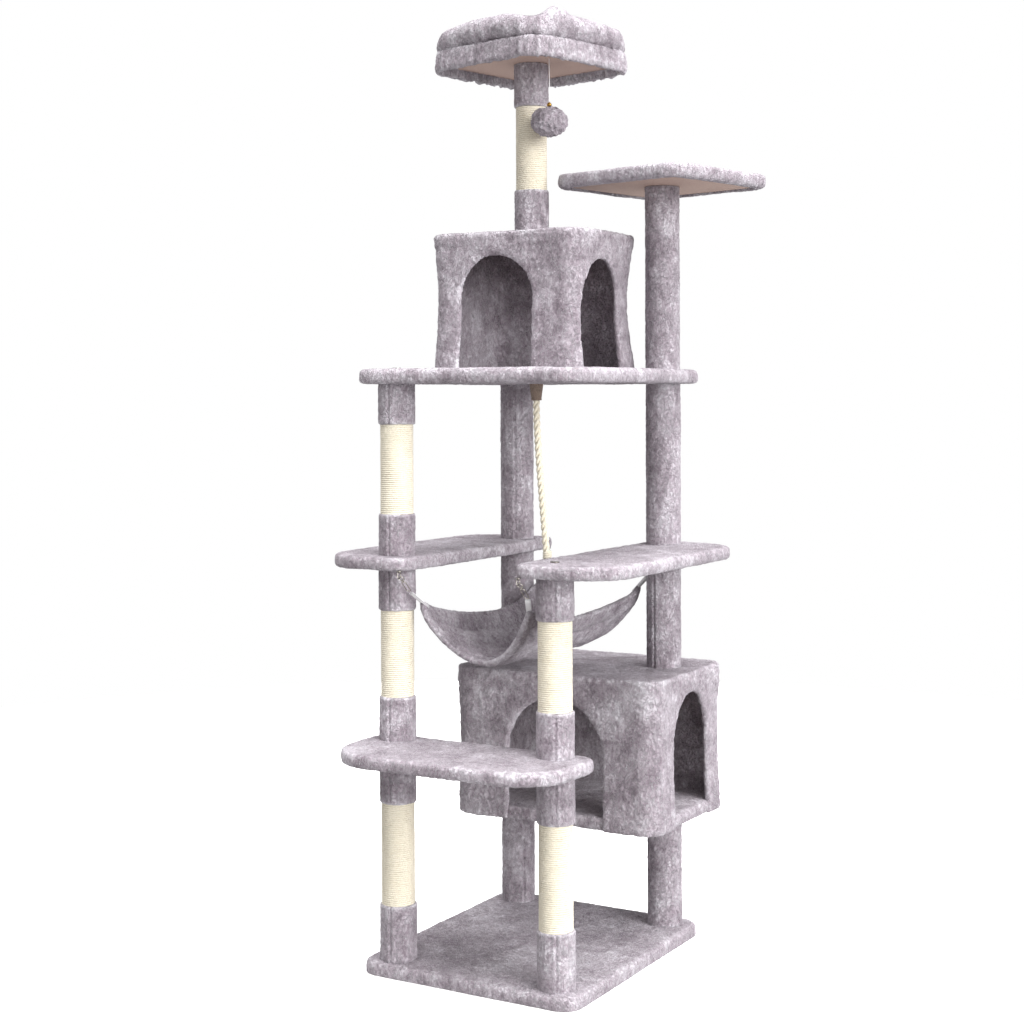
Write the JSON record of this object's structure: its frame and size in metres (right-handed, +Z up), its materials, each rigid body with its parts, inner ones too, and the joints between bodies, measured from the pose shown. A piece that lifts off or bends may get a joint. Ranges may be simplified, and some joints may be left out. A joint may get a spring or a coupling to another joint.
{
  "type": "cat tree",
  "caption": "Tall free-standing cat tree in grey plush with sisal posts, round-cornered shelves, two houses, a hammock, a perch and a top bed.",
  "frame": {"origin": "middle of the base's underside, on the floor", "axes": "+Z up, +X to the right as the cat tree is faced, the front with the low step is -Y"},
  "size_m": [0.732, 0.875, 2.003],
  "materials": {
    "plush": "short mottled silver-grey pile",
    "particle_board": "raw pressed board",
    "cardboard": "wound kraft tube and bent fibre board",
    "sisal": "tightly wound natural sisal cord",
    "nickel_steel": "nickel plated",
    "white_webbing": "flat woven tape",
    "elastic_cord": "round covered elastic",
    "brass": "polished",
    "cotton_rope": "three-strand twisted rope",
    "brown_binding": "smooth synthetic leather binding"
  },
  "bodies": {
    "root": {"base_board": "particle_board", "base_cover": "plush", "step_board": "particle_board", "step_cover": "plush", "left_shelf_board": "particle_board", "left_shelf_cover": "plush", "right_shelf_board": "particle_board", "right_shelf_cover": "plush", "platform_board": "particle_board", "platform_cover": "plush", "low_house_floor_board": "particle_board", "low_house_floor_cover": "plush", "low_house_roof_board": "particle_board", "low_house_roof_cover": "plush", "low_house_wall": "cardboard", "low_house_wall_cover": "plush", "high_house_roof_board": "particle_board", "high_house_roof_cover": "plush", "high_house_wall": "cardboard", "high_house_wall_cover": "plush", "perch_board": "particle_board", "perch_cover": "plush", "bed_board": "particle_board", "bed_skirt": "plush", "bed_rim": "plush", "bed_lining": "plush", "tubes_front": "cardboard", "tubes_middle": "cardboard", "tubes_house": "cardboard", "tubes_top": "cardboard", "sleeve_c1": "plush", "sleeve_c2": "plush", "sleeve_c3": "plush", "sleeve_d1": "plush", "sleeve_d2": "plush", "sleeve_d3": "plush", "sleeve_d4": "plush", "sisal_a1": "sisal", "sisal_a2": "sisal", "sisal_a3": "sisal", "sisal_b1": "sisal", "sisal_b2": "sisal", "sisal_e1": "sisal", "collars_a": "plush", "collars_b": "plush", "collars_e": "plush", "post_plugs": "particle_board", "post_studs": "nickel_steel", "hammock_eyes": "nickel_steel", "rope_sleeve": "brown_binding"},
    "hammock": {"hammock_cloth": "plush", "hammock_straps": "white_webbing"},
    "hook_front_left": {"hook_front_left": "nickel_steel"},
    "hook_front_right": {"hook_front_right": "nickel_steel"},
    "hook_back_left": {"hook_back_left": "nickel_steel"},
    "hook_back_right": {"hook_back_right": "nickel_steel"},
    "pompom_line": {"pompom_string": "elastic_cord"},
    "pompom": {"pompom_bell": "brass", "pompom_ball": "plush"},
    "rope": {"rope": "cotton_rope"}
  },
  "joints": [
    {"name": "hammock_sway", "type": "slide", "parent": "root", "child": "hammock", "axis": [1, 0, 0], "range_m": [-0.009, 0.009]},
    {"name": "hook_front_left_swing", "type": "hinge", "parent": "root", "child": "hook_front_left", "pos_m": [-0.14, -0.30568, 0.82283], "axis": [0, 1, 0], "range_deg": [-18, 18]},
    {"name": "hook_front_right_swing", "type": "hinge", "parent": "root", "child": "hook_front_right", "pos_m": [0.14, -0.30568, 0.82283], "axis": [0, 1, 0], "range_deg": [-18, 18]},
    {"name": "hook_back_left_swing", "type": "hinge", "parent": "root", "child": "hook_back_left", "pos_m": [-0.14, 0.30568, 0.82283], "axis": [0, 1, 0], "range_deg": [-18, 18]},
    {"name": "hook_back_right_swing", "type": "hinge", "parent": "root", "child": "hook_back_right", "pos_m": [0.14, 0.30568, 0.82283], "axis": [0, 1, 0], "range_deg": [-18, 18]},
    {"name": "rope_swing", "type": "hinge", "parent": "root", "child": "rope", "pos_m": [0.009, -0.005, 1.181], "axis": [1, 0, 0], "range_deg": [-25, 25]},
    {"name": "pompom_swing", "type": "hinge", "parent": "root", "child": "pompom_line", "pos_m": [0.00537, 0.06251, 1.923], "axis": [0.8291, -0.5591, 0], "range_deg": [-30, 30]},
    {"name": "pompom_tilt", "type": "hinge", "parent": "pompom_line", "child": "pompom", "pos_m": [0.00537, 0.06251, 1.828], "axis": [0.5591, 0.8291, 0], "range_deg": [-30, 12]}
  ],
  "couplings": [
    {"joint": "hook_front_left_swing", "follows": "hammock_sway", "rad_per_m": -31.99},
    {"joint": "hook_front_right_swing", "follows": "hammock_sway", "rad_per_m": -31.99},
    {"joint": "hook_back_left_swing", "follows": "hammock_sway", "rad_per_m": -31.99},
    {"joint": "hook_back_right_swing", "follows": "hammock_sway", "rad_per_m": -31.99}
  ]
}
